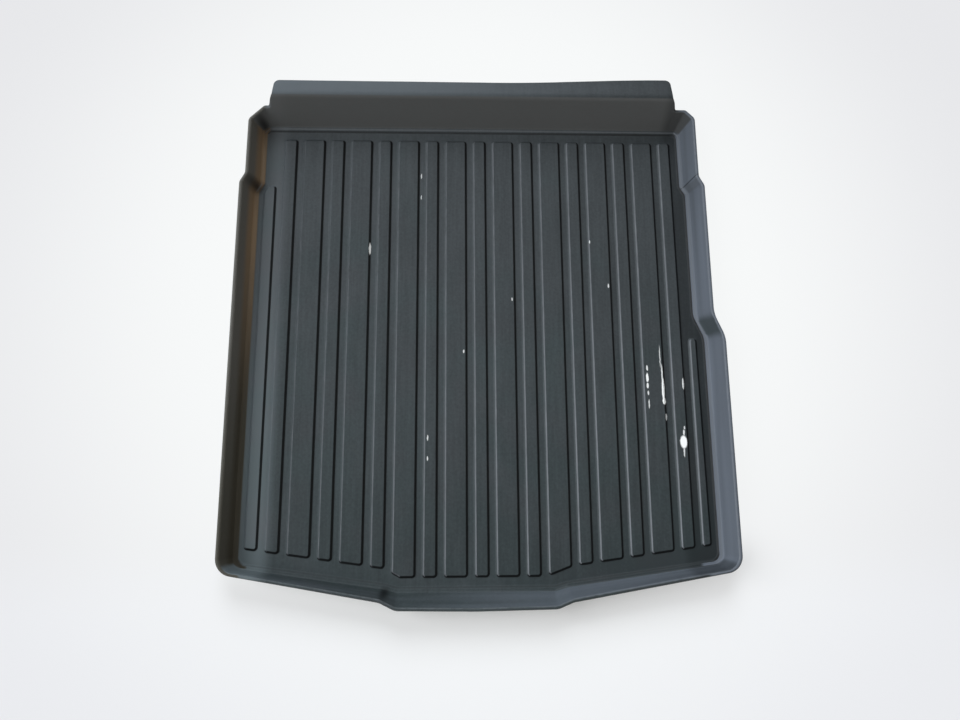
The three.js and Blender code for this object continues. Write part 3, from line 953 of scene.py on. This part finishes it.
# A thin pale line on the bars' left-looking edges: partly wear, partly a painted highlight
worn_and_lit_edge = rubber.band(inset, 2.5 * MM, 5.2 * MM, 0.8 * MM) * rubber.step(normal_x * -1, 0.06, 0.3)
wear_and_highlight_spread = rubber.step(x, -0.45, 0.35) * 0.42 + rubber.step(y * -1, -0.35, 0.4) * 0.3
edge_wear_and_highlight = wear_and_highlight_spread + rubber.noise(rubber.stretched(place, (1, 0.12, 1)), 3 * MM) * 0.8
colour = rubber.mix(worn_and_lit_edge * edge_wear_and_highlight, colour, WEAR_AND_HIGHLIGHT)
ledge = rubber.band(up_wall, 9.5 * MM, 12.5 * MM, 1 * MM)
# Painted highlight on the ledge where it looks to the left and, fainter, to the front
colour = rubber.mix(ledge * rubber.step(normal_x * -1, 0.02, 0.1) * (0.45 + bands), colour, WEAR_AND_HIGHLIGHT)
colour = rubber.mix(ledge * rubber.step(normal_y * -1, 0.02, 0.1) * 0.35, colour, WEAR_AND_HIGHLIGHT)
below_the_flap = 1 - rubber.step(z, 51 * MM, 56 * MM)
rim = rubber.band(up_wall, 63 * MM, 69 * MM, 2 * MM) * below_the_flap * (1 - left_wall)
colour = rubber.mix(rim * (0.25 + rubber.noise(place, 9 * MM) * 0.8), colour, WEAR_AND_HIGHLIGHT)
print("nodes with the worn edges:", len(rubber.tree.nodes))

# %% [markdown]
# ## White marks
#
# The liner has some small white marks, most of them running lengthwise. Each is an ellipse with a
# place, a half width and a half length in millimetres, and the narrow ones are fainter. A noise
# frays them all. It moves each point by half the fray on average, and the centres move with it.
# Thin pieces on the rubber would do as well, but marks in the finish follow the bars by themselves.

# %% The marks
MARKS = (
    (-231, 186, 1.9, 11), (-123.5, 353, 1.0, 5), (-123.5, 304, 1.0, 4), (-33, -37, 1.3, 3),
    (-106, -215, 1.2, 5), (-106, -256, 1.2, 4), (346, -72, 1.5, 5), (345.5, -92, 2.3, 8),
    (345.5, -109, 1.9, 5), (346, -124, 1.4, 4), (346.5, -147, 1.2, 8), (376.5, -84, 1.3, 17),
    (377.5, -117, 2.6, 22), (378.5, -141, 3.2, 6), (381, -174, 1.6, 6), (413, -225, 6.0, 11),
    (414.5, -206, 1.6, 5), (413, -245, 1.3, 9), (416.5, -196, 1.2, 3), (419.5, -105, 1.8, 10),
    (68.5, 75, 1.1, 3), (273, 105, 1.3, 4), (237, 203, 1.0, 3), (374, -48, 0.9, 20),
)
MARK_WHITE = rgb(0.88, 0.89, 0.87)
FRAY = 2 * MM

scatter = rubber.node("TexNoise", inputs={"Vector": place, "Scale": 1 / (5 * MM), "Detail": 2.0})
frayed = rubber.vector("MULTIPLY_ADD", scatter.outputs["Color"], (FRAY, FRAY, 0), place)
marked = rubber.math("ADD", 0.0, 0.0)
for mark_x, mark_y, half_width, half_length in MARKS:
    centre = (mark_x * MM + FRAY / 2, mark_y * MM + FRAY / 2, 0)
    reach = rubber.reach(frayed, centre, (1 / (half_width * MM), 1 / (half_length * MM), 0))
    strength = min(1, 0.35 + half_width / 4)
    marked = rubber.math("MAXIMUM", marked, strength - rubber.step(reach, 0.9, 1.4) * strength)
colour = rubber.mix(marked, colour, MARK_WHITE)
print("white marks:", len(MARKS))

# %% [markdown]
# ## Grain and sheen
#
# The mould leaves a grain of about a millimetre and a half. It is a bump, because it is far finer
# than the mesh. The worn and highlighted edges are a little smoother than the rest, and the flanks
# with painted shade are duller.

# %% Grain and sheen
grain = rubber.noise(place, 1.6 * MM, 3.0) + rubber.noise(place, 6 * MM) * 0.8
bump = rubber.node("Bump", inputs={"Strength": 0.35, "Distance": 0.25 * MM, "Height": grain})
roughness = 0.56 + rubber.noise(place, 14 * MM) * 0.2 - worn_and_lit_edge * 0.08 + flank * shaded_side * 0.2
rubber.feed(rubber.shader.inputs["Base Color"], colour)
rubber.feed(rubber.shader.inputs["Roughness"], roughness)
rubber.feed(rubber.shader.inputs["Normal"], bump.outputs[0])
rubber.feed(rubber.shader.inputs["Specular IOR Level"], 0.2)
print("nodes in the whole finish:", len(rubber.tree.nodes))

# %% [markdown]
# ## The pressed sheet
#
# The tree's inputs are set by their sockets' identifiers, and the result becomes a plain mesh. The
# weighted normals keep the flat tops flat next to their rounded edges.

# %% Press the sheet
SHARP_FOLD = math.radians(50)

press = flat_liner.modifiers.new("press", "NODES")
press.node_group = press_tree(rubber.material)
for item in press.node_group.interface.items_tree:
    if item.in_out == "INPUT" and item.name in TREE_INPUTS:
        press[item.identifier] = TREE_INPUTS[item.name]
weighted = flat_liner.modifiers.new("even shading", "WEIGHTED_NORMAL")
weighted.keep_sharp = True
mesh.set_sharp_from_angle(angle=SHARP_FOLD)
depsgraph = bpy.context.evaluated_depsgraph_get()
liner = bpy.data.objects.new(
    "liner", bpy.data.meshes.new_from_object(flat_liner.evaluated_get(depsgraph), depsgraph=depsgraph)
)
bpy.context.scene.collection.objects.link(liner)
bpy.data.objects.remove(flat_liner)
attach(liner, "root")
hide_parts("boot_liner")
print("points and faces of the pressed sheet:", len(liner.data.vertices), len(liner.data.polygons))

# %% [markdown]
# ## Camera
#
# The straight sides of the liner give the photograph's perspective. The camera stands above the
# tailgate end, about 1.5 m up, and looks almost straight down.

# %% Aim the camera
camera_data = bpy.data.cameras.new("camera")
camera_data.sensor_width = 36
camera_data.lens = 27.75
camera = bpy.data.objects.new("camera", camera_data)
bpy.context.scene.collection.objects.link(camera)
camera_place = (-0.051, -0.3674, 1.4958)
right_of_view = (0.99943, -0.00693, 0.03305)
up_of_view = (0, 0.97873, 0.20517)
back_of_view = (-0.03376, -0.20506, 0.97817)
turned = Matrix((right_of_view, up_of_view, back_of_view)).transposed().to_4x4()
camera.matrix_world = Matrix.Translation(camera_place) @ turned
bpy.context.scene.camera = camera
print("the camera stands at, in metres:", camera_place)

# %% [markdown]
# ## Light
#
# The liner stands in soft daylight, which comes mostly from a wide window on the left and some from
# behind. The world fills in the rest. It has one tone for each side of the room, weighted by the
# squares of the direction's parts, which add up to one. Up to about 12 degrees above the floor it
# is pale all round, and so is the background of low views.

# %% World and windows
ROOM = {
    (1, 0, 0): (0.42, 0.33, 0.25),
    (-1, 0, 0): (0.50, 0.55, 0.62),
    (0, 1, 0): (0.42, 0.48, 0.56),
    (0, -1, 0): (0.95, 0.94, 0.90),
    (0, 0, 1): (0.20, 0.21, 0.22),
}
PALE = (0.88, 0.90, 0.92)
PALE_UP_TO, ROOM_FROM = 0.2, 0.34

world = bpy.data.worlds.new("room")
world.use_nodes = True
bpy.context.scene.world = world
sky = Tree(world.node_tree, "ShaderNode")
direction = sky.node("TexCoord").outputs["Generated"]
tone = sky.node("CombineXYZ").outputs[0]
for side, side_tone in ROOM.items():
    part = sky.math("MAXIMUM", sky.vector("DOT_PRODUCT", direction, side), 0.0)
    tone = sky.vector("MULTIPLY_ADD", side_tone, part * part, tone)
height = sky.node("SeparateXYZ", inputs={0: direction}).outputs[2]
limits = {"Value": height, "From Min": PALE_UP_TO, "From Max": ROOM_FROM, "To Min": 1.0, "To Max": 0.0}
low = sky.node("MapRange", {"interpolation_type": "SMOOTHSTEP"}, limits).outputs[0]
tone = sky.node("Mix", {"data_type": "VECTOR"}, {0: low, 4: tone, 5: PALE}).outputs[1]
sky.feed(world.node_tree.nodes["Background"].inputs["Color"], tone)


def sun(name, direction, strength, spread, tint):
    data = bpy.data.lights.new(name, "SUN")
    data.energy = strength * math.pi
    data.angle = math.radians(spread)
    data.color = tint
    lamp = bpy.data.objects.new(name, data)
    lamp.rotation_euler = Vector(direction).to_track_quat("Z", "Y").to_euler()
    bpy.context.scene.collection.objects.link(lamp)
    print(f"{name}: gives the floor {strength * Vector(direction).normalized().z:.2f} of its light")


sun("left window", (-0.78, 0.05, 0.62), strength=0.80, spread=45, tint=(0.97, 1.0, 1.04))
sun("rear window", (-0.05, 0.8, 0.6), strength=0.38, spread=32, tint=(0.95, 1.0, 1.06))

# %% [markdown]
# ## Floor
#
# The floor is plain and pale, a little darker away from the liner. Most of what the camera sees of
# it is its own brightness, so that it stays pale. In front of the liner, where the photograph shows
# the shadow, all of it is lit. The daylight is a little blue, so the lit colour is warmer.

# %% Pale floor
# Painted light: the floor's colour is lighter near the liner, like a pool of light, and darker away from
# it
NEAR_WHITE = rgb(0.94, 0.955, 0.955)
FAR_WHITE = rgb(0.80, 0.805, 0.825)
UNDER_DAYLIGHT = (0.93, 0.91, 0.885)
FLOOR_SIZE = 40
BRIGHTEST = (0, 0.12, 0)
LIT_IN_FRONT, OWN_FROM = -0.58, -0.38
OWN_SHARE = 0.94

bpy.ops.mesh.primitive_plane_add(size=FLOOR_SIZE)
floor = bpy.context.object
floor.name = "floor"
white = Finish("pale floor")
spot = white.node("TexCoord").outputs["Object"]
away = white.vector("LENGTH", white.vector("SUBTRACT", spot, BRIGHTEST))
pale = white.mix(white.step(away, 0.45, 1.25), NEAR_WHITE, FAR_WHITE)
lit = white.vector("MULTIPLY", pale, UNDER_DAYLIGHT)
white.feed(white.shader.inputs["Base Color"], lit)
white.feed(white.shader.inputs["Roughness"], 1.0)
white.feed(white.shader.inputs["Specular IOR Level"], 0.0)
glow = white.node("Emission", inputs={"Color": pale, "Strength": 1.0})
ray = white.node("LightPath").outputs
seen = white.number(ray["Is Camera Ray"]) + ray["Is Glossy Ray"] + ray["Is Transmission Ray"]
own = seen * (white.step(white.split(spot)[1], LIT_IN_FRONT, OWN_FROM) * OWN_SHARE)
shown = white.node("MixShader", inputs={0: own, 1: white.shader.outputs[0], 2: glow.outputs[0]})
output = white.tree.nodes["Material Output"]
white.feed(output.inputs["Surface"], shown.outputs[0])
floor.data.materials.append(white.material)
print("nodes in the floor's finish:", len(white.tree.nodes))

# %% [markdown]
# ## View transform
#
# The view transform is Standard.

# %% View transform
bpy.context.scene.view_settings.view_transform = "Standard"
